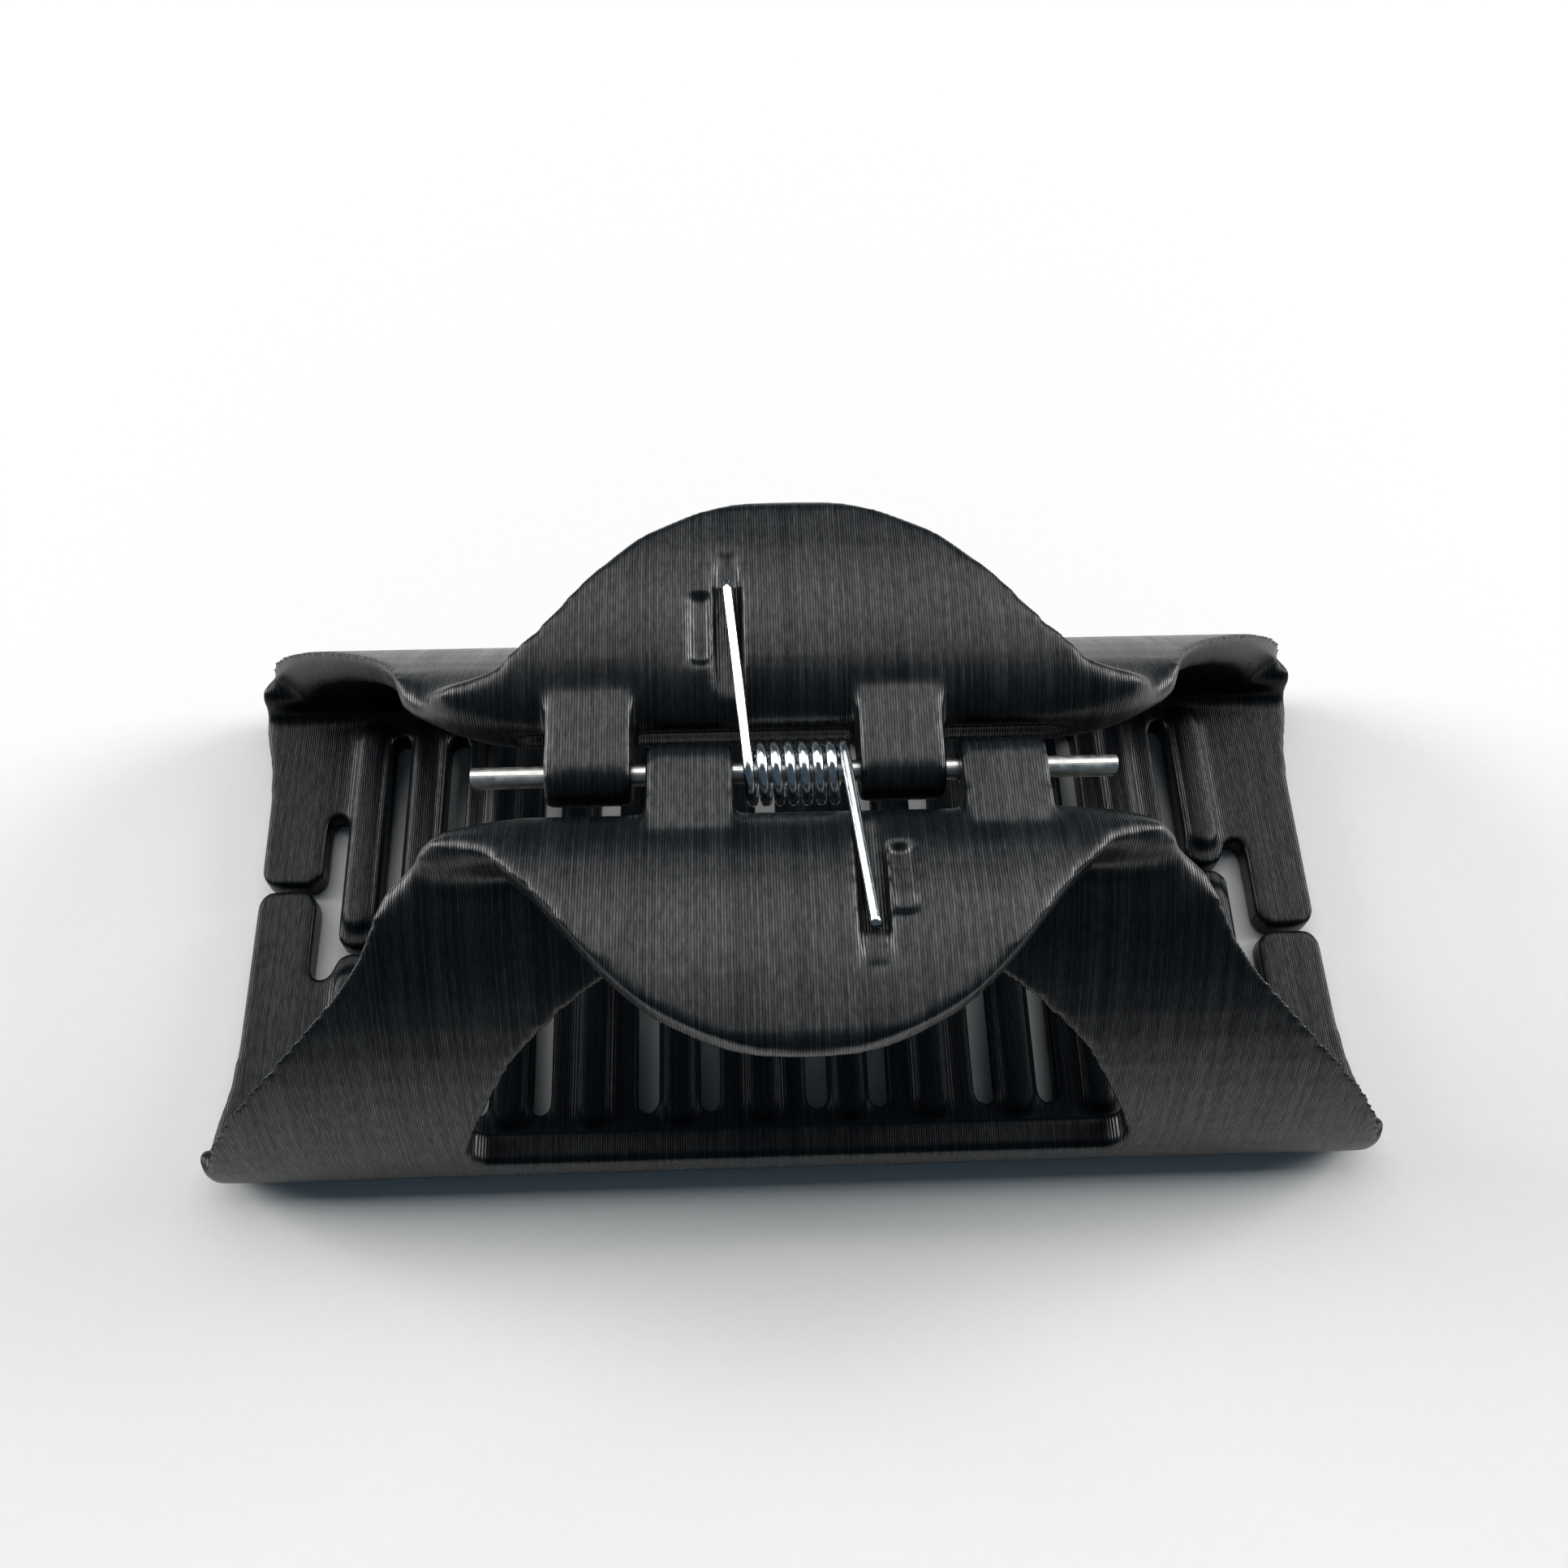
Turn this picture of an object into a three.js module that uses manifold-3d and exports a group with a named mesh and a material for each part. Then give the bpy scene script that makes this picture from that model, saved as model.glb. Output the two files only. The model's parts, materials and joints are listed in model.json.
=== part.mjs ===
// A large claw clip for hair: two identical printed jaws that face each other, hinged on a plain
// steel rod and held shut by a torsion spring coiled round the middle of the rod.
// Millimetres, +Z up, +X along the hinge. The clip stands on the flat undersides of its teeth.
import * as THREE from "three";
import { mergeVertices } from "three/addons/utils/BufferGeometryUtils.js";
import Module from "manifold-3d";

const wasm = await Module();
wasm.setup();

// ---- driving dimensions -------------------------------------------------------------------
const JAW_HALF_LENGTH = 48; // half the length of the foot, at its corners
const TOOTH_ROW_HALF = 46.6; // half the length of the row of teeth, which is a little shorter
const SHEET = 2.6; // wall thickness of a jaw
const HINGE_HEIGHT = 28.7; // hinge axis above the surface that the clip stands on

const ROD_RADIUS = 0.8;
const ROD_HALF_LENGTH = 23.4;
const ROD_END_SLANT = 0.26; // radians that the rod's cut ends lean
const ROD_HOLE_RADIUS = 0.9;

const KNUCKLE_RADIUS = 2.25;
const KNUCKLE_LENGTH = 6.3;
const KNUCKLE_STARTS = [-18.2, 4.6]; // the other jaw's knuckles fill the gaps between these

const NOSE_Y = 4.8; // centre of the rounded fold that faces the hinge
const NOSE_LOW_Z = -1.9;
const NOSE_HIGH_Z = 0.4;
const FOLD_DEPTH_Y = 7.9; // how far the fold is filled between the handle and the body
const FOLD_HOLLOW_Y = 6.8;

const HANDLE_REACH = 22.2; // hinge axis to the tip of the handle
const BULGE_Y = 19.1; // centre of the curl at the foot of the body
const BULGE_Z = -24.7;
const BULGE_RADIUS = 2.7; // of the sheet's middle surface
const BODY_SLOPE = 1.36; // radians from level where the body runs into the curl

const WINDOW_HALF_WIDTH = 26;
const WINDOW_FOOT_Z = -22.3;
const WINDOW_TOP_Z = -3.7;

const SLOT_ROOT_Y = 18; // how far the slots between the teeth run back
const END_SLOT_ROOT_Y = 5.6; // the slot beside the long end tooth is short
const SHORT_END_SLOT_ROOT_Y = 10;
const TOOTH_LAP = 3; // how far a long tooth reaches past the hinge plane
const MEETING_GAP = 0.4; // between two facing tooth tips
const RIB_WIDTH = 2.6;
const RIB_HEIGHT = 0.7;
const RIB_ROOT_Y = 19;

const SPRING_WIRE_RADIUS = 0.4;
const SPRING_COIL_RADIUS = 2.1; // of the wire's centre line
const SPRING_HALF_LENGTH = 3.5;
const SPRING_TURNS = 7;
const LEG_RISE = 0.15; // radians that each leg climbs as it leaves the coil
const LEG_TIP_X = 4.8;
const LEG_TIP_Y = 13.9;
const GROOVE_CLEARANCE = 0.2; // between the leg and the groove's floor
const GROOVE_X = [-5.75, -3.7];
const GROOVE_END_Y = 16.6;
const POCKET_X = [-7.6, -6];
const POCKET_Y = [7.2, 13.4];
const POCKET_DEPTH = 0.6;
const ABOVE_JAW_Z = 9; // clear of everything, for cuts that are open at the top

const HALF_SHEET = SHEET / 2;
const WIDE = 60; // past the clip on every side, for tools that cut right across it

// ---- solids -------------------------------------------------------------------------------
function solid(geometry) {
  const bare = geometry.clone();
  bare.deleteAttribute("normal");
  bare.deleteAttribute("uv");
  const merged = mergeVertices(bare, 1e-4);
  return new wasm.Manifold(
    new wasm.Mesh({
      numProp: 3,
      vertProperties: new Float32Array(merged.attributes.position.array),
      triVerts: new Uint32Array(merged.index.array),
    }),
  );
}

function geometryOf(body) {
  const mesh = body.getMesh();
  const geometry = new THREE.BufferGeometry();
  geometry.setAttribute("position", new THREE.BufferAttribute(mesh.vertProperties, 3));
  geometry.setIndex(new THREE.BufferAttribute(mesh.triVerts, 1));
  geometry.computeVertexNormals();
  return geometry;
}

// A section drawn in (Y, Z), swept along X from one end to the other.
function sweepX(shape, from, to) {
  const geometry = new THREE.ExtrudeGeometry(shape, {
    depth: to - from,
    bevelEnabled: false,
    curveSegments: 8,
  });
  geometry.applyMatrix4(new THREE.Matrix4().set(0, 0, 1, from, 1, 0, 0, 0, 0, 1, 0, 0, 0, 0, 0, 1));
  return solid(geometry);
}

// A plan drawn in (X, Y), swept right through the clip along Z.
function sweepZ(shape, from = -WIDE, to = WIDE) {
  const geometry = new THREE.ExtrudeGeometry(shape, {
    depth: to - from,
    bevelEnabled: false,
    curveSegments: 2,
  });
  geometry.translate(0, 0, from);
  return solid(geometry);
}

// An elevation drawn in (X, Z), swept through the jaw's body along Y.
function sweepY(shape) {
  const geometry = new THREE.ExtrudeGeometry(shape, {
    depth: WIDE,
    bevelEnabled: false,
    curveSegments: 12,
  });
  geometry.rotateX(Math.PI / 2);
  geometry.translate(0, WIDE, 0);
  return solid(geometry);
}

// The outline of a sheet of even thickness that follows a middle line, with rounded ends.
function sheetSection(middle) {
  const left = [];
  const right = [];
  middle.forEach((point, i) => {
    const before = middle[Math.max(i - 1, 0)];
    const after = middle[Math.min(i + 1, middle.length - 1)];
    const along = after.clone().sub(before).normalize();
    const across = new THREE.Vector2(-along.y, along.x).multiplyScalar(HALF_SHEET);
    left.push(point.clone().add(across));
    right.push(point.clone().sub(across));
  });
  const cap = (centre, from) => {
    const start = from.clone().sub(centre);
    return [1, 2, 3, 4, 5].map((k) =>
      start.clone().rotateAround(new THREE.Vector2(), (-Math.PI * k) / 6).add(centre),
    );
  };
  const end = cap(middle.at(-1), left.at(-1));
  const begin = cap(middle[0], right[0]);
  return new THREE.Shape([...left, ...end, ...right.reverse(), ...begin]);
}

function smooth(pairs, count) {
  return new THREE.SplineCurve(pairs.map(([a, b]) => new THREE.Vector2(a, b))).getPoints(count);
}

// A plan that is the same on both sides of X = 0, from its half widths.
function mirroredPlan(half) {
  const right = half.map((p) => new THREE.Vector2(p.x, p.y));
  const left = half.map((p) => new THREE.Vector2(-p.x, p.y)).reverse();
  return new THREE.Shape([...right, ...left]);
}

// ---- one jaw, in its own frame: hinge axis on X, +Y outward, +Z up ------------------------
const handleLine = smooth(
  [[NOSE_Y, NOSE_HIGH_Z], [5.6, 1.2], [7.1, 1.95], [9.1, 2.5], [12.2, 3], [16.2, 3], [20.9, 2.5]],
  14,
);

function bodyLine() {
  const footY = BULGE_Y + BULGE_RADIUS * Math.sin(BODY_SLOPE);
  const footZ = BULGE_Z + BULGE_RADIUS * Math.cos(BODY_SLOPE);
  return smooth(
    [
      [NOSE_Y, NOSE_LOW_Z], [7.3, -2.4], [9.9, -3.7], [13.5, -7.2], [16.6, -11.2],
      [19, -15.3], [20.6, -19.2], [21.5, -22.3], [footY, footZ],
    ],
    16,
  );
}

function curlLine() {
  const start = Math.PI / 2 - BODY_SLOPE;
  const curl = [];
  const steps = 8;
  for (let k = 0; k <= steps; k += 1) {
    const turn = start - ((start + Math.PI / 2) * k) / steps;
    curl.push(
      new THREE.Vector2(
        BULGE_Y + BULGE_RADIUS * Math.cos(turn),
        BULGE_Z + BULGE_RADIUS * Math.sin(turn),
      ),
    );
  }
  curl.push(new THREE.Vector2(-WIDE / 4, BULGE_Z - BULGE_RADIUS));
  return curl;
}

function handle() {
  const halfWidths = smooth(
    [
      [20, 3.1], [22.5, 3.5], [25, 4.3], [26.6, 5.3], [26.3, 6.3], [24.6, 6.8], [22.2, 7.6],
      [20.8, 8.5], [18.7, 10.4], [17, 12.4], [15.3, 14.4], [13.5, 16.4], [11, 18.6],
      [8.8, 19.9], [6.4, 21], [3.4, 21.9], [0, HANDLE_REACH],
    ],
    32,
  );
  const plan = mirroredPlan(halfWidths);
  return sweepX(sheetSection(handleLine), -WIDE / 2, WIDE / 2).intersect(sweepZ(plan));
}

function body() {
  const halfWidths = smooth(
    [
      [20, 3.1], [22.5, 3.5], [25, 4.3], [27, 5.4], [28.4, 6.3], [29.3, 7.2], [29.9, 8],
      [30.5, 10], [31.7, 12], [33.6, 14], [36.3, 16], [39.3, 18], [42.7, 20], [45.6, 21.8],
      [47.3, 23.2], [JAW_HALF_LENGTH, 24.6],
    ],
    30,
  );
  const plan = mirroredPlan(halfWidths);
  const sheet = sweepX(sheetSection(bodyLine()), -JAW_HALF_LENGTH, JAW_HALF_LENGTH);
  return sheet.intersect(sweepZ(plan));
}

// Between the handle and the body the fold is solid, with a hollow outer face.
function foldWeb() {
  const section = new THREE.Shape();
  section.moveTo(NOSE_Y, NOSE_LOW_Z);
  section.lineTo(7.3, -2.4);
  section.lineTo(FOLD_DEPTH_Y, -1.6);
  section.quadraticCurveTo(FOLD_HOLLOW_Y, -0.2, FOLD_DEPTH_Y, 1.2);
  section.lineTo(7.1, 1.95);
  section.lineTo(5.6, 1.2);
  section.lineTo(NOSE_Y, NOSE_HIGH_Z);
  const halfWidths = smooth(
    [[20, 3.1], [22.5, 3.5], [25, 4.3], [27, 5.4], [27.6, 6.6], [27, 7.6], [25, FOLD_DEPTH_Y + 0.1]],
    14,
  );
  return sweepX(section, -WIDE / 2, WIDE / 2).intersect(sweepZ(mirroredPlan(halfWidths)));
}

function knuckle(start) {
  const topAngle = 1.74;
  const lowAngle = -Math.PI / 2;
  const section = new THREE.Shape();
  section.moveTo(6.4, 2.85);
  section.lineTo(KNUCKLE_RADIUS * Math.cos(topAngle), KNUCKLE_RADIUS * Math.sin(topAngle));
  section.absarc(0, 0, KNUCKLE_RADIUS, topAngle, lowAngle + 2 * Math.PI, false);
  section.lineTo(NOSE_Y, NOSE_LOW_Z - 0.6);
  return sweepX(section, start, start + KNUCKLE_LENGTH);
}

function rodHole() {
  const round = new THREE.Shape();
  round.absarc(0, 0, ROD_HOLE_RADIUS, 0, 2 * Math.PI);
  return sweepX(round, -WIDE / 2, WIDE / 2);
}

function windowArch() {
  const side = smooth(
    [
      [WINDOW_HALF_WIDTH - 1.4, WINDOW_FOOT_Z], [WINDOW_HALF_WIDTH - 0.1, WINDOW_FOOT_Z + 1.1],
      [25.5, -19.2], [24.1, -15.9], [21.4, -11.2], [18.4, -8.4], [15.2, -6.2], [11, -4.7],
      [6, -3.9], [0, WINDOW_TOP_Z],
    ],
    26,
  );
  return sweepY(mirroredPlan(side));
}

// The teeth, from one end of the jaw to the other: where each starts and ends along X, and
// whether it is a long one, which laps past the hinge plane, or a short one that meets it.
function teeth() {
  const period = 14.1;
  const found = [{ from: -TOOTH_ROW_HALF, to: -41.2, long: false, root: SHORT_END_SLOT_ROOT_Y }];
  found.push({ from: -39.4, to: -36, long: true, root: SLOT_ROOT_Y });
  for (let k = 0; k < 5; k += 1) {
    const from = -34.4 + period * k;
    found.push({ from, to: from + 3.5, long: true, root: SLOT_ROOT_Y });
    found.push({ from: from + 5.3, to: from + 12.5, long: false, root: SLOT_ROOT_Y });
  }
  found.push({ from: 36.1, to: 39.5, long: false, root: END_SLOT_ROOT_Y });
  found.push({ from: 41.5, to: TOOTH_ROW_HALF, long: true, root: SLOT_ROOT_Y });
  return found;
}

function tipOf(tooth) {
  return (tooth.long ? -TOOTH_LAP : TOOTH_LAP) + MEETING_GAP / 2;
}

function combPlan() {
  const corner = smooth([[46.8, 23.4], [47.7, 21.8], [48, 20], [47.7, 18], [47, 15], [46.7, 11]], 12);
  const row = teeth();
  const plan = new THREE.Shape([new THREE.Vector2(-corner[0].x, WIDE / 2)]);
  corner.forEach((p) => plan.lineTo(-p.x, p.y));
  row.forEach((tooth, i) => {
    const tip = tipOf(tooth);
    const round = Math.min(1.5, (tooth.to - tooth.from) / 2.2);
    plan.lineTo(tooth.from, tip + round);
    plan.absarc(tooth.from + round, tip + round, round, Math.PI, 1.5 * Math.PI, false);
    plan.absarc(tooth.to - round, tip + round, round, 1.5 * Math.PI, 2 * Math.PI, false);
    const next = row[i + 1];
    if (next) {
      const radius = (next.from - tooth.to) / 2;
      plan.absarc(tooth.to + radius, tooth.root - radius, radius, Math.PI, 0, true);
    }
  });
  corner.reverse().forEach((p) => plan.lineTo(p.x, p.y));
  plan.lineTo(corner.at(-1).x, WIDE / 2);
  return plan;
}

function toothedFoot() {
  const sheet = sweepX(sheetSection(curlLine()), -JAW_HALF_LENGTH, JAW_HALF_LENGTH);
  return sheet.intersect(sweepZ(combPlan()));
}

// A low rib stiffens the inner face of each tooth but the two end ones.
function toothRibs() {
  const low = BULGE_Z - BULGE_RADIUS;
  return teeth().slice(1, -1).map((tooth) => {
    const middle = (tooth.from + tooth.to) / 2;
    const tip = tipOf(tooth) + 1.6;
    const half = RIB_WIDTH / 2;
    const plan = new THREE.Shape();
    plan.absarc(middle, RIB_ROOT_Y - half, half, 0, Math.PI, false);
    plan.absarc(middle, tip + half, half, Math.PI, 2 * Math.PI, false);
    return sweepZ(plan, low, low + HALF_SHEET + RIB_HEIGHT);
  });
}

function legHeight(y) {
  const start = SPRING_COIL_RADIUS * Math.cos(LEG_RISE);
  return start + (y + SPRING_COIL_RADIUS * Math.sin(LEG_RISE)) * Math.tan(LEG_RISE);
}

function legGroove() {
  const under = SPRING_WIRE_RADIUS / Math.cos(LEG_RISE) + GROOVE_CLEARANCE;
  const section = new THREE.Shape([
    new THREE.Vector2(3, legHeight(3) - under),
    new THREE.Vector2(GROOVE_END_Y, legHeight(GROOVE_END_Y) - under),
    new THREE.Vector2(GROOVE_END_Y, ABOVE_JAW_Z),
    new THREE.Vector2(3, ABOVE_JAW_Z),
  ]);
  return sweepX(section, GROOVE_X[0], GROOVE_X[1]);
}

// A shallow pocket of even depth beside the groove.
function legPocket() {
  const floor = smooth(handleLine.map((p) => [p.x, p.y + HALF_SHEET - POCKET_DEPTH]), 30).filter(
    (p) => p.x > POCKET_Y[0] && p.x < POCKET_Y[1],
  );
  const section = new THREE.Shape([
    new THREE.Vector2(floor[0].x, ABOVE_JAW_Z),
    ...floor,
    new THREE.Vector2(floor.at(-1).x, ABOVE_JAW_Z),
  ]);
  return sweepX(section, POCKET_X[0], POCKET_X[1]);
}

function jawSolid() {
  let jaw = body().add(toothedFoot());
  toothRibs().forEach((rib) => {
    jaw = jaw.add(rib);
  });
  jaw = jaw.subtract(windowArch());
  jaw = jaw.add(handle()).add(foldWeb());
  KNUCKLE_STARTS.forEach((start) => {
    jaw = jaw.add(knuckle(start));
  });
  return jaw.subtract(rodHole()).subtract(legGroove()).subtract(legPocket());
}

// ---- rod and spring -----------------------------------------------------------------------
function rodSolid() {
  const bar = new THREE.CylinderGeometry(ROD_RADIUS, ROD_RADIUS, 2 * ROD_HALF_LENGTH + 2, 32);
  bar.rotateZ(Math.PI / 2);
  let rod = solid(bar);
  [-1, 1].forEach((side) => {
    const waste = new THREE.BoxGeometry(6, 6, 6);
    waste.translate(side * 3, 0, 0);
    waste.rotateY(side * ROD_END_SLANT);
    waste.translate(side * ROD_HALF_LENGTH, 0, 0);
    rod = rod.subtract(solid(waste));
  });
  return rod;
}

// Wire centre line: in along one leg, round the coil from left to right, out along the other.
function springLine() {
  const points = [];
  const turnStart = LEG_RISE;
  const turnEnd = 2 * Math.PI * SPRING_TURNS - LEG_RISE;
  const stepsPerTurn = 14;
  const steps = SPRING_TURNS * stepsPerTurn;
  for (let k = 0; k <= steps; k += 1) {
    const part = k / steps;
    const turn = turnStart + (turnEnd - turnStart) * part;
    points.push(
      new THREE.Vector3(
        SPRING_HALF_LENGTH * (2 * part - 1),
        -SPRING_COIL_RADIUS * Math.sin(turn),
        SPRING_COIL_RADIUS * Math.cos(turn),
      ),
    );
  }
  const tip = new THREE.Vector3(LEG_TIP_X, -LEG_TIP_Y, legHeight(LEG_TIP_Y));
  const leave = points.at(-1).clone();
  for (let k = 1; k <= 6; k += 1) {
    const out = leave.clone().lerp(tip, k / 6);
    points.push(out);
    points.unshift(new THREE.Vector3(-out.x, -out.y, out.z));
  }
  return new THREE.CatmullRomCurve3(points, false, "centripetal");
}

function springSolid() {
  const wire = new THREE.Shape();
  wire.absarc(0, 0, SPRING_WIRE_RADIUS, 0, 2 * Math.PI);
  const geometry = new THREE.ExtrudeGeometry(wire, {
    steps: 110,
    curveSegments: 4,
    extrudePath: springLine(),
  });
  return solid(geometry);
}

// ---- the assembly -------------------------------------------------------------------------
const black = { color: 0x0b0d0f, roughness: 0.42, metalness: 0 };
const steel = { color: 0xb9bbb8, roughness: 0.3, metalness: 1 };
const zinc = { color: 0xc9ced2, roughness: 0.18, metalness: 1 };

function part(name, geometry, look) {
  const mesh = new THREE.Mesh(geometry, new THREE.MeshStandardMaterial(look));
  mesh.name = name;
  mesh.material.name = name;
  return mesh;
}

const jawGeometry = geometryOf(jawSolid());

const rearJaw = part("rear_jaw", jawGeometry, black);
const frontJaw = part("front_jaw", jawGeometry.clone(), black);
frontJaw.rotation.z = Math.PI;
const hingeRod = part("hinge_rod", geometryOf(rodSolid()), steel);
const torsionSpring = part("torsion_spring", geometryOf(springSolid()), zinc);

const clip = new THREE.Group();
clip.name = "claw_clip";
clip.position.z = HINGE_HEIGHT;
clip.add(frontJaw, rearJaw, hingeRod, torsionSpring);

export default clip;
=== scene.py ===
import json
import math

import bmesh
import bpy
from mathutils import Matrix, Vector


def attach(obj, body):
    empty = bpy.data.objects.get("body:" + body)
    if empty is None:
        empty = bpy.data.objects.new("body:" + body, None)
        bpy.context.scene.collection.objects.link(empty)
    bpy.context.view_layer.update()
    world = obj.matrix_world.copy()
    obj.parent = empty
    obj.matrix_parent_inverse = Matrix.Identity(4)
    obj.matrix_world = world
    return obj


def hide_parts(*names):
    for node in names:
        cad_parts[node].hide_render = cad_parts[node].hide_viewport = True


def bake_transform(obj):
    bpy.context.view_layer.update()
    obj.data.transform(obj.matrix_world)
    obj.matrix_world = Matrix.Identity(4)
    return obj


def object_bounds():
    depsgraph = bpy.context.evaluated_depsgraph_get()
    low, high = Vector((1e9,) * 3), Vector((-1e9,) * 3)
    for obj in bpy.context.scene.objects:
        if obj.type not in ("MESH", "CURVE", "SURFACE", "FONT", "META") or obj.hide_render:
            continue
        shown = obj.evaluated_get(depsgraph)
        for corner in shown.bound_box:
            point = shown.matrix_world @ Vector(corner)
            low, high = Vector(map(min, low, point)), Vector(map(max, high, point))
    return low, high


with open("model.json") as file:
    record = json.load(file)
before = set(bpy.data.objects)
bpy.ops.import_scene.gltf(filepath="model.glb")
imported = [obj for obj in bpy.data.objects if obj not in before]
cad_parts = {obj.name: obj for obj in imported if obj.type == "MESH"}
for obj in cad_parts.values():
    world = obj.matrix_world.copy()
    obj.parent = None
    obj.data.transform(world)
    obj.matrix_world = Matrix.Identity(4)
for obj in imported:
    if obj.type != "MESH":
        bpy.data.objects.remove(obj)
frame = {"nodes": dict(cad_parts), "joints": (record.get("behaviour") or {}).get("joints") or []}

CAD_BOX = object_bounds()

# A large claw clip for hair: two printed jaws on a steel rod, shut by a torsion spring.

# ---- driving sizes, in metres -------------------------------------------------------------
MM = 0.001
HINGE = Vector(frame["joints"][0]["pos_m"])  # the middle of the hinge's axis
LAYER = 0.2 * MM  # printed layer height; the layers lie at right angles to the hinge

# The jaws' visual mesh.
VOXEL = 0.26 * MM
RIM_TURNS = 15  # turns of smoothing: all over, at the ears, and at the foot's corners
EAR_TURNS = 320
CORNER_TURNS = 40
EAR = Vector((25.6 * MM, 5.8 * MM, HINGE.z))  # outer corner of a fold, right of the hinge's middle
FOOT_CORNER = Vector((48 * MM, 22.5 * MM, 4 * MM))

# Painted shade: the teeth's inner faces, between the jaws, lose most of their sheen to stand in
# for the shade that falls there. It fades from the first to the second of each pair.
TEETH_TOP_Z = (6.9 * MM, 6.2 * MM)
TEETH_BACK_Y = (23.0 * MM, 22.4 * MM)
WINDOW_EDGE_X = (26.6 * MM, 25.8 * MM)

# The spring: a wire with two legs, coiled round the rod.
WIRE_RADIUS = 0.4 * MM
COIL_RADIUS = 2.1 * MM  # of the wire's centre line
COIL_HALF = 3.5 * MM
COIL_TURNS = 7
STEPS_PER_TURN = 40
LEG_STEPS = 24
LEG_RISE = 0.15  # radians that each leg climbs as it leaves the coil
LEG_TIP_X = 4.8 * MM
LEG_TIP_Y = 13.9 * MM
WIRE_SIDES = 20

ROD_BEVEL = 0.06 * MM

# The camera looks down on the clip from in front, a little from the left and slightly tilted.
CAMERA_ELEVATION = math.radians(63.2)
CAMERA_AZIMUTH = math.radians(-3.901)
CAMERA_ROLL = math.radians(2.2307)
CAMERA_DISTANCE = 112.858 * MM
HINGE_ASIDE = 0.8656 * MM  # how far the hinge's middle lies right of the middle of the view
HINGE_ABOVE = 0.8729 * MM  # and how far above it
SENSOR_WIDTH = 36  # this and the focal length are in millimetres, as Blender's cameras are
FOCAL_LENGTH = 35.4037
NEAREST_SEEN = 5 * MM

# The studio, in metres.
CEILING_PLACE = (0.0, 0.46, 0.94)
CEILING_SIZE = (2.2, 0.8)
CEILING_POWER = 10.5
CEILING_COLOUR = (1.0, 0.995, 0.975)
WINDOW_ASIDE = 0.95
WINDOW_BACK = 0.3
WINDOW_UP = 0.42
WINDOW_SIZE = (0.5, 0.5)
WINDOW_POWER = 9.5
WINDOW_COLOUR = (1.0, 0.99, 0.97)
ROOM_COLOUR = (0.55, 0.78, 1.0, 1)
ROOM_STRENGTH = 0.10
TABLE_HALF = 1.6
TABLE_FRONT = -0.17
TABLE_CLEARANCE = 0.02 * MM  # below the clip, so that the two faces never fight


# ---- shader helpers -----------------------------------------------------------------------
class Shader:
    """A node material under construction, with a Principled surface."""

    def __init__(self, name):
        self.material = bpy.data.materials.new(name)
        self.material.use_nodes = True
        self.tree = self.material.node_tree
        self.surface = self.tree.nodes["Principled BSDF"].inputs
        self.place = self.node("ShaderNodeTexCoord").outputs["Object"]

    def node(self, kind, **values):
        made = self.tree.nodes.new(kind)
        for key, value in values.items():
            setattr(made, key, value)
        return made

    def link(self, source, target):
        self.tree.links.new(source, target)

    def math(self, operation, a, b=0.0, c=0.0):
        made = self.node("ShaderNodeMath", operation=operation)
        for socket, value in zip(made.inputs, (a, b, c)):
            if isinstance(value, (int, float)):
                socket.default_value = value
            else:
                self.link(value, socket)
        return made.outputs[0]

    def axes(self):
        """The surface's x, y and z, in metres."""
        split = self.node("ShaderNodeSeparateXYZ")
        self.link(self.place, split.inputs[0])
        return split.outputs

    def noise(self, scale, detail, roughness, stretch=(1, 1, 1)):
        mapping = self.node("ShaderNodeMapping")
        mapping.inputs["Scale"].default_value = stretch
        self.link(self.place, mapping.inputs["Vector"])
        made = self.node("ShaderNodeTexNoise", noise_dimensions="3D")
        self.link(mapping.outputs[0], made.inputs["Vector"])
        made.inputs["Scale"].default_value = scale
        made.inputs["Detail"].default_value = detail
        made.inputs["Roughness"].default_value = roughness
        return made.outputs[0]

    def ramp(self, value, given, wanted):
        """The value, with its given span stretched to the wanted one and held beyond it."""
        made = self.node("ShaderNodeMapRange", clamp=True)
        self.link(value, made.inputs["Value"])
        for socket, number in zip(("From Min", "From Max", "To Min", "To Max"), (*given, *wanted)):
            made.inputs[socket].default_value = number
        return made.outputs[0]

    def mix(self, factor, dark, light):
        made = self.node("ShaderNodeMix", data_type="RGBA")
        dark_colour, light_colour = made.inputs[6:8]
        self.link(factor, made.inputs["Factor"])
        dark_colour.default_value = (*dark, 1)
        light_colour.default_value = (*light, 1)
        return made.outputs[2]

    def bump(self, height, distance, under=None):
        made = self.node("ShaderNodeBump")
        self.link(height, made.inputs["Height"])
        made.inputs["Distance"].default_value = distance
        made.inputs["Strength"].default_value = 1.0
        if under is not None:
            self.link(under, made.inputs["Normal"])
        return made.outputs[0]


# ---- materials ----------------------------------------------------------------------------
def teeth_painted_shade(s):
    """Painted shade: nought on most of a jaw, and nearly one on the teeth behind the window, where
    shade falls between the jaws.
    """
    x, y, z = s.axes()
    low = s.ramp(z, TEETH_TOP_Z, (0, 1))
    within = s.ramp(s.math("ABSOLUTE", y), TEETH_BACK_Y, (0, 1))
    middle = s.ramp(s.math("ABSOLUTE", x), WINDOW_EDGE_X, (0.62, 0.95))
    return s.math("MULTIPLY", s.math("MULTIPLY", low, within), middle)


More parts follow.
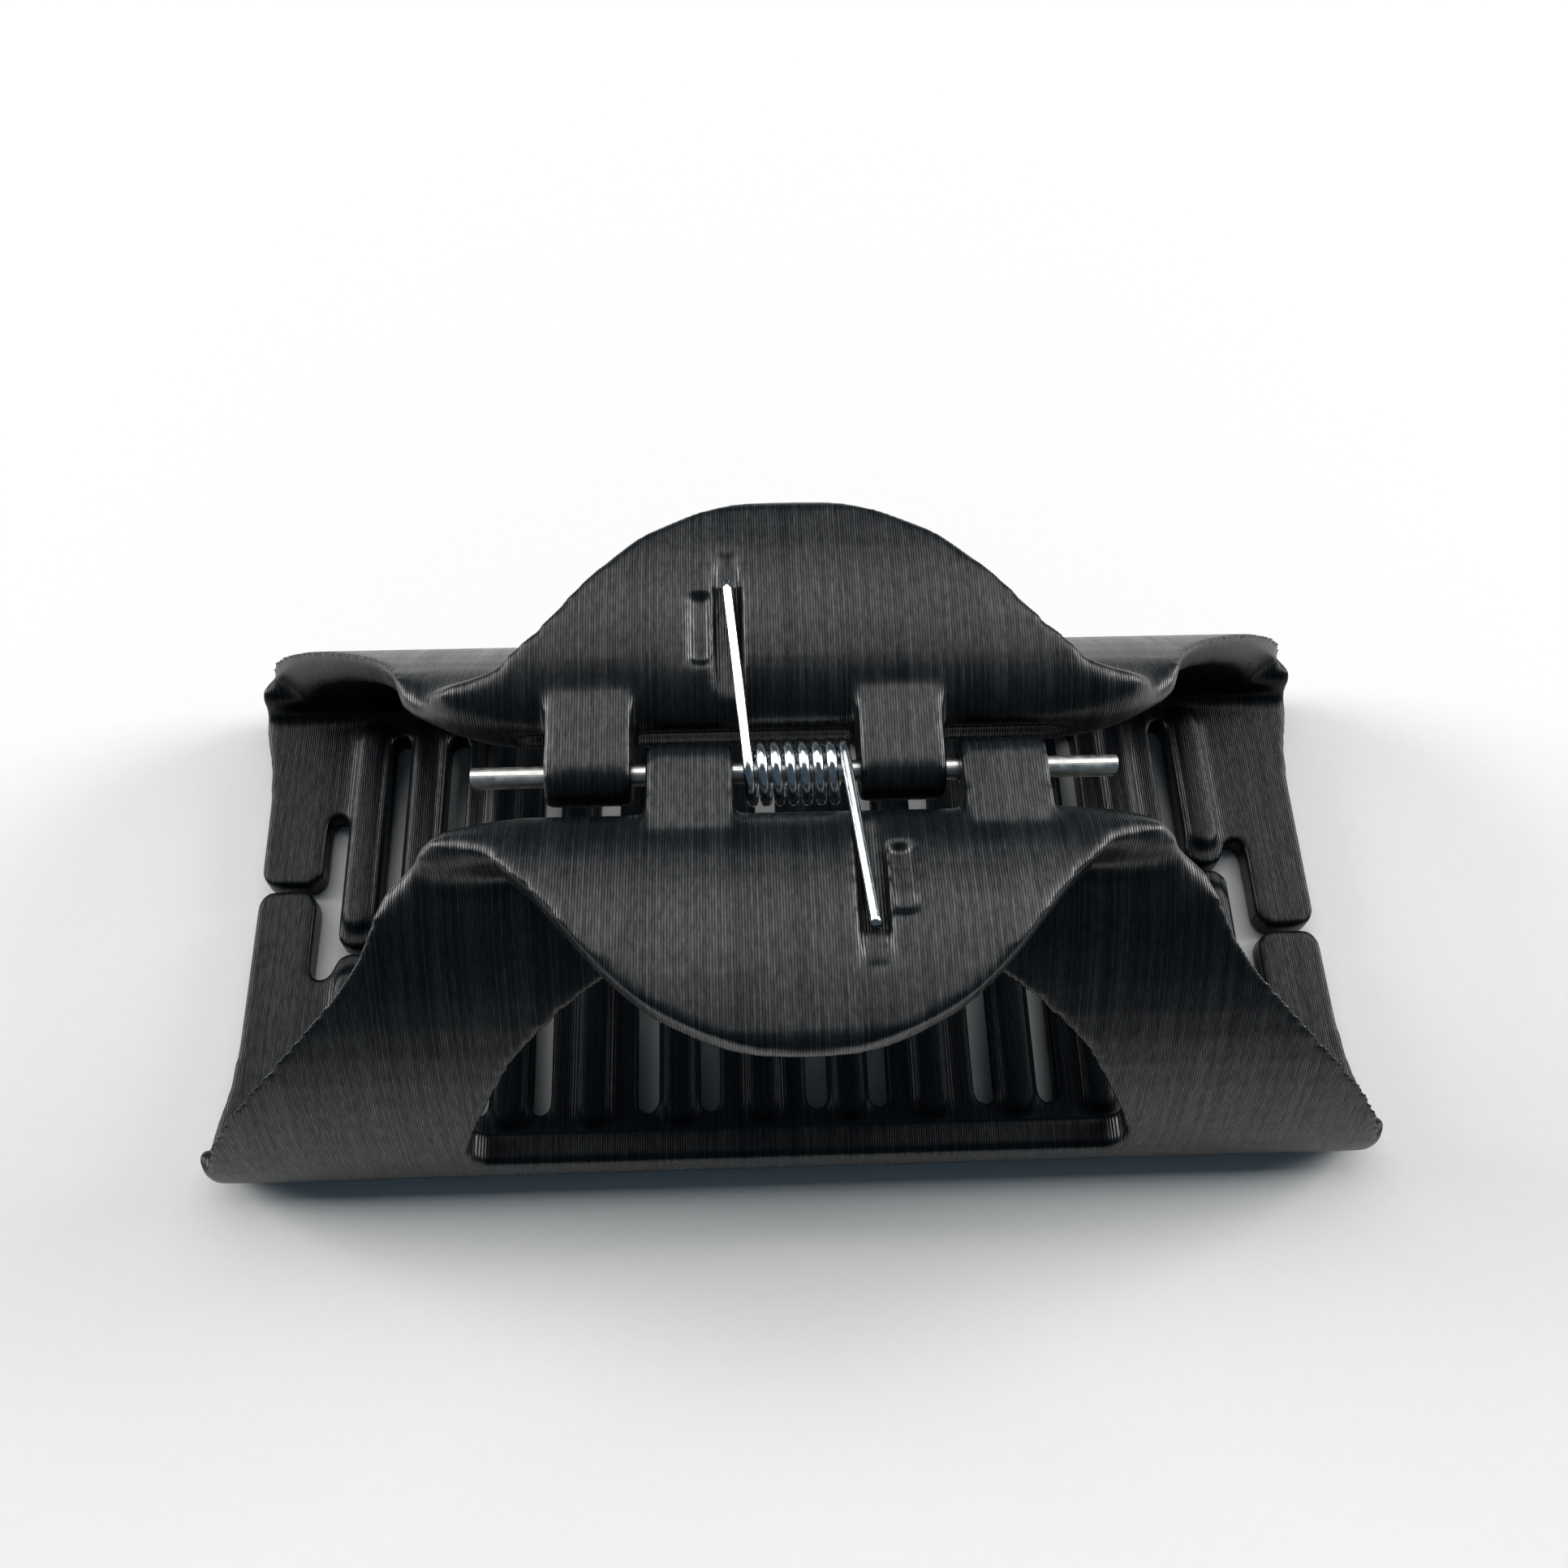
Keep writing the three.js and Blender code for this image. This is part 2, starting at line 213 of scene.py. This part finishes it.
def printed_plastic():
    """Black filament: a bead every layer along X, each a little different, with a silky sheen."""
    s = Shader("black_print")
    x, _, _ = s.axes()
    layer = s.math("DIVIDE", x, LAYER)
    cell = s.node("ShaderNodeTexWhiteNoise", noise_dimensions="1D")
    s.link(s.math("FLOOR", layer), cell.inputs["W"])
    chance = cell.outputs["Value"]
    arch = s.math("ABSOLUTE", s.math("SINE", s.math("MULTIPLY", layer, math.pi)))
    bead = s.math("POWER", arch, 0.8)
    drift = s.noise(120, detail=4, roughness=0.6, stretch=(6, 1, 1))
    flecks = s.noise(2600, detail=3, roughness=0.6, stretch=(1.6, 0.4, 0.4))
    swell = s.noise(260, detail=3, roughness=0.55, stretch=(0.3, 1, 1))

    beads = s.bump(s.math("MULTIPLY_ADD", chance, 0.2, bead), 0.02 * MM)
    waves = s.bump(swell, 0.05 * MM, beads)
    s.link(s.bump(flecks, 0.012 * MM, waves), s.surface["Normal"])

    tone = s.math("MULTIPLY_ADD", chance, 0.5, s.math("MULTIPLY", drift, 0.6))
    colour = s.mix(tone, dark=(0.0010, 0.0020, 0.0032), light=(0.0030, 0.0046, 0.0062))
    s.link(colour, s.surface["Base Color"])
    rough = s.math("MULTIPLY_ADD", chance, 0.06, s.ramp(drift, (0.3, 0.7), (0.25, 0.34)))
    s.link(rough, s.surface["Roughness"])

    shine = s.math("MULTIPLY", bead, s.ramp(chance, (0, 1), (0.58, 0.98)))
    shine = s.math("MULTIPLY", shine, s.ramp(flecks, (0.35, 0.68), (0.62, 1.25)))
    shine = s.math("MULTIPLY_ADD", shine, s.ramp(drift, (0.3, 0.7), (0.8, 1.05)), 0.03)
    # Painted shade: the sheen is taken away from the teeth between the jaws.
    shine = s.math("MULTIPLY", shine, s.math("SUBTRACT", 1.0, teeth_painted_shade(s)))
    s.link(shine, s.surface["Specular IOR Level"])
    return s.material


def drawn_steel():
    """Bright drawn rod: lengthwise die marks and faint handling scuffs."""
    s = Shader("rod_steel")
    marks = s.noise(900, detail=4, roughness=0.65, stretch=(0.03, 1, 1))
    scuffs = s.noise(1400, detail=5, roughness=0.6)
    s.surface["Metallic"].default_value = 1.0
    s.surface["Anisotropic"].default_value = 0.5
    colour = s.mix(marks, dark=(0.60, 0.59, 0.56), light=(0.86, 0.85, 0.82))
    s.link(colour, s.surface["Base Color"])
    s.link(s.ramp(scuffs, (0.3, 0.75), (0.24, 0.46)), s.surface["Roughness"])
    s.link(s.bump(scuffs, 0.006 * MM, s.bump(marks, 0.02 * MM)), s.surface["Normal"])
    return s.material


def spring_wire():
    """Zinc-bright wire: a clear mirror with small dull spots."""
    s = Shader("spring_wire")
    spots = s.noise(2100, detail=4, roughness=0.6)
    s.surface["Metallic"].default_value = 1.0
    colour = s.mix(spots, dark=(0.52, 0.56, 0.58), light=(0.80, 0.84, 0.86))
    s.link(colour, s.surface["Base Color"])
    s.link(s.ramp(spots, (0.35, 0.75), (0.09, 0.26)), s.surface["Roughness"])
    s.link(s.bump(spots, 0.005 * MM), s.surface["Normal"])
    return s.material


def sheet_white():
    """The pale table top, with a faint grain."""
    s = Shader("table_top")
    grain = s.noise(900, detail=3, roughness=0.5)
    s.surface["Roughness"].default_value = 0.62
    colour = s.mix(grain, dark=(0.80, 0.80, 0.79), light=(0.83, 0.83, 0.82))
    s.link(colour, s.surface["Base Color"])
    s.link(s.bump(grain, 0.02 * MM), s.surface["Normal"])
    return s.material


# ---- jaws ---------------------------------------------------------------------------------
def add(name, mesh, material):
    piece = bpy.data.objects.new(name, mesh)
    bpy.context.scene.collection.objects.link(piece)
    piece.data.materials.clear()
    piece.data.materials.append(material)
    return piece


def bake(piece):
    """Applies the piece's modifiers."""
    graph = bpy.context.evaluated_depsgraph_get()
    mesh = bpy.data.meshes.new_from_object(piece.evaluated_get(graph))
    piece.modifiers.clear()
    piece.data = mesh


def near(place, plateau, fade):
    """A weight of one or more at the place's four mirror images, falling off round them."""

    def weight(point):
        away = Vector((abs(point.x), abs(point.y), point.z)) - place
        return plateau - away.length / fade

    return weight


def soften(piece, name, weight, turns):
    """Smooths the piece where the weight is above nought."""
    group = piece.vertex_groups.new(name=name)
    for vertex in piece.data.vertices:
        amount = weight(vertex.co)
        if amount > 0:
            group.add([vertex.index], min(amount, 1), "REPLACE")
    smooth = piece.modifiers.new(name, "SMOOTH")
    smooth.factor = 0.5
    smooth.iterations = turns
    smooth.vertex_group = name
    bake(piece)


def printed_jaw(node, body, material):
    """The jaw with its printed softness: rounded rims and no sharp edges."""
    piece = add(node + "_print", frame["nodes"][node].data.copy(), material)
    remesh = piece.modifiers.new("remesh", "REMESH")
    remesh.mode = "VOXEL"
    remesh.voxel_size = VOXEL
    bake(piece)
    soften(piece, "rims", lambda point: 1.0, RIM_TURNS)
    soften(piece, "ears", near(EAR, 1.9, 3.4 * MM), EAR_TURNS)
    soften(piece, "corners", near(FOOT_CORNER, 1.8, 3 * MM), CORNER_TURNS)
    piece.data.shade_smooth()
    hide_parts(node)
    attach(piece, body)


# ---- spring -------------------------------------------------------------------------------
def spring_path():
    """The wire's centre line: rear leg, coil from left to right, front leg."""
    coil = []
    steps = COIL_TURNS * STEPS_PER_TURN
    for k in range(steps + 1):
        part = k / steps
        turn = LEG_RISE + (2 * math.pi * COIL_TURNS - 2 * LEG_RISE) * part
        across = -COIL_RADIUS * math.sin(turn)
        up = COIL_RADIUS * math.cos(turn)
        coil.append(Vector((COIL_HALF * (2 * part - 1), across, up)))
    climb = (LEG_TIP_Y + COIL_RADIUS * math.sin(LEG_RISE)) * math.tan(LEG_RISE)
    tip = Vector((LEG_TIP_X, -LEG_TIP_Y, COIL_RADIUS * math.cos(LEG_RISE) + climb))
    leg = [coil[-1].lerp(tip, k / LEG_STEPS) for k in range(1, LEG_STEPS + 1)]
    rear_leg = [Vector((-p.x, -p.y, p.z)) for p in reversed(leg)]
    return [p + HINGE for p in rear_leg + coil + leg]


def tube(path, radius, sides):
    """A round wire along the path, closed at both ends."""
    rings = []
    normal = Vector((0, 0, 1))
    mesh = bmesh.new()
    last = len(path) - 1
    for i, point in enumerate(path):
        along = (path[min(i + 1, last)] - path[max(i - 1, 0)]).normalized()
        normal = (normal - along * normal.dot(along)).normalized()
        side = along.cross(normal)
        ring = []
        for k in range(sides):
            angle = 2 * math.pi * k / sides
            outwards = normal * math.cos(angle) + side * math.sin(angle)
            ring.append(mesh.verts.new(point + outwards * radius))
        rings.append(ring)
    for a, b in zip(rings, rings[1:]):
        for k in range(sides):
            following = (k + 1) % sides
            mesh.faces.new((a[k], a[following], b[following], b[k]))
    mesh.faces.new(list(reversed(rings[0])))
    mesh.faces.new(rings[-1])
    bmesh.ops.recalc_face_normals(mesh, faces=mesh.faces)
    made = bpy.data.meshes.new("wire")
    mesh.to_mesh(made)
    mesh.free()
    return made


def spring(material):
    wire = tube(spring_path(), WIRE_RADIUS, WIRE_SIDES)
    piece = add("spring_coil", wire, material)
    piece.data.shade_smooth()
    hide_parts("torsion_spring")
    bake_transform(piece)


# ---- rod ----------------------------------------------------------------------------------
def rod(material):
    piece = add("rod_bar", frame["nodes"]["hinge_rod"].data.copy(), material)
    bevel = piece.modifiers.new("bevel", "BEVEL")
    bevel.width = ROD_BEVEL
    bevel.segments = 2
    bevel.limit_method = "ANGLE"
    bevel.angle_limit = math.radians(40)
    bake(piece)
    piece.data.shade_smooth()
    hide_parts("hinge_rod")
    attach(piece, "front")


# ---- camera, light and stage --------------------------------------------------------------
def camera():
    """The view from above and in front of the shut clip."""
    back = Vector((
        math.sin(CAMERA_AZIMUTH) * math.cos(CAMERA_ELEVATION),
        -math.cos(CAMERA_AZIMUTH) * math.cos(CAMERA_ELEVATION),
        math.sin(CAMERA_ELEVATION),
    ))
    level = Vector((0, 0, 1)).cross(back).normalized()
    upright = back.cross(level)
    right = math.cos(CAMERA_ROLL) * level + math.sin(CAMERA_ROLL) * upright
    up = -math.sin(CAMERA_ROLL) * level + math.cos(CAMERA_ROLL) * upright
    place = HINGE + CAMERA_DISTANCE * back - HINGE_ASIDE * right - HINGE_ABOVE * up

    data = bpy.data.cameras.new("camera")
    data.sensor_width = SENSOR_WIDTH
    data.lens = FOCAL_LENGTH
    data.clip_start = NEAREST_SEEN
    made = bpy.data.objects.new("camera", data)
    turn = Matrix((right, up, back)).transposed().to_4x4()
    made.matrix_world = Matrix.Translation(place) @ turn
    bpy.context.scene.collection.objects.link(made)
    bpy.context.scene.camera = made


def area_light(name, place, size, power, colour):
    """A rectangular light that faces the middle of the clip's footprint."""
    data = bpy.data.lights.new(name, "AREA")
    data.shape = "RECTANGLE"
    data.size, data.size_y = size
    data.energy = power
    data.color = colour
    made = bpy.data.objects.new(name, data)
    made.location = place
    made.rotation_euler = (-Vector(place)).to_track_quat("-Z", "Y").to_euler()
    bpy.context.scene.collection.objects.link(made)


def lights():
    """A broad light behind and above the clip, a window at each side, and a dim blue room."""
    world = bpy.data.worlds.new("studio")
    world.use_nodes = True
    background = world.node_tree.nodes["Background"]
    background.inputs["Color"].default_value = ROOM_COLOUR
    background.inputs["Strength"].default_value = ROOM_STRENGTH
    bpy.context.scene.world = world
    area_light("rear_ceiling", CEILING_PLACE, CEILING_SIZE, CEILING_POWER, CEILING_COLOUR)
    for name, aside in (("left_window", -WINDOW_ASIDE), ("right_window", WINDOW_ASIDE)):
        place = (aside, WINDOW_BACK, WINDOW_UP)
        area_light(name, place, WINDOW_SIZE, WINDOW_POWER, WINDOW_COLOUR)
    bpy.context.scene.view_settings.view_transform = "Standard"


def table():
    """The pale sheet under the clip."""
    mesh = bpy.data.meshes.new("table_top")
    corners = [
        (-TABLE_HALF, TABLE_FRONT, 0),
        (TABLE_HALF, TABLE_FRONT, 0),
        (TABLE_HALF, TABLE_HALF, 0),
        (-TABLE_HALF, TABLE_HALF, 0),
    ]
    mesh.from_pydata(corners, [], [(0, 1, 2, 3)])
    mesh.materials.append(sheet_white())
    floor = bpy.data.objects.new("table_top", mesh)
    floor.location.z = CAD_BOX[0][2] - TABLE_CLEARANCE
    bpy.context.scene.collection.objects.link(floor)


camera()
lights()
table()
plastic = printed_plastic()
printed_jaw("front_jaw", "front", plastic)
printed_jaw("rear_jaw", "rear", plastic)
rod(drawn_steel())
spring(spring_wire())
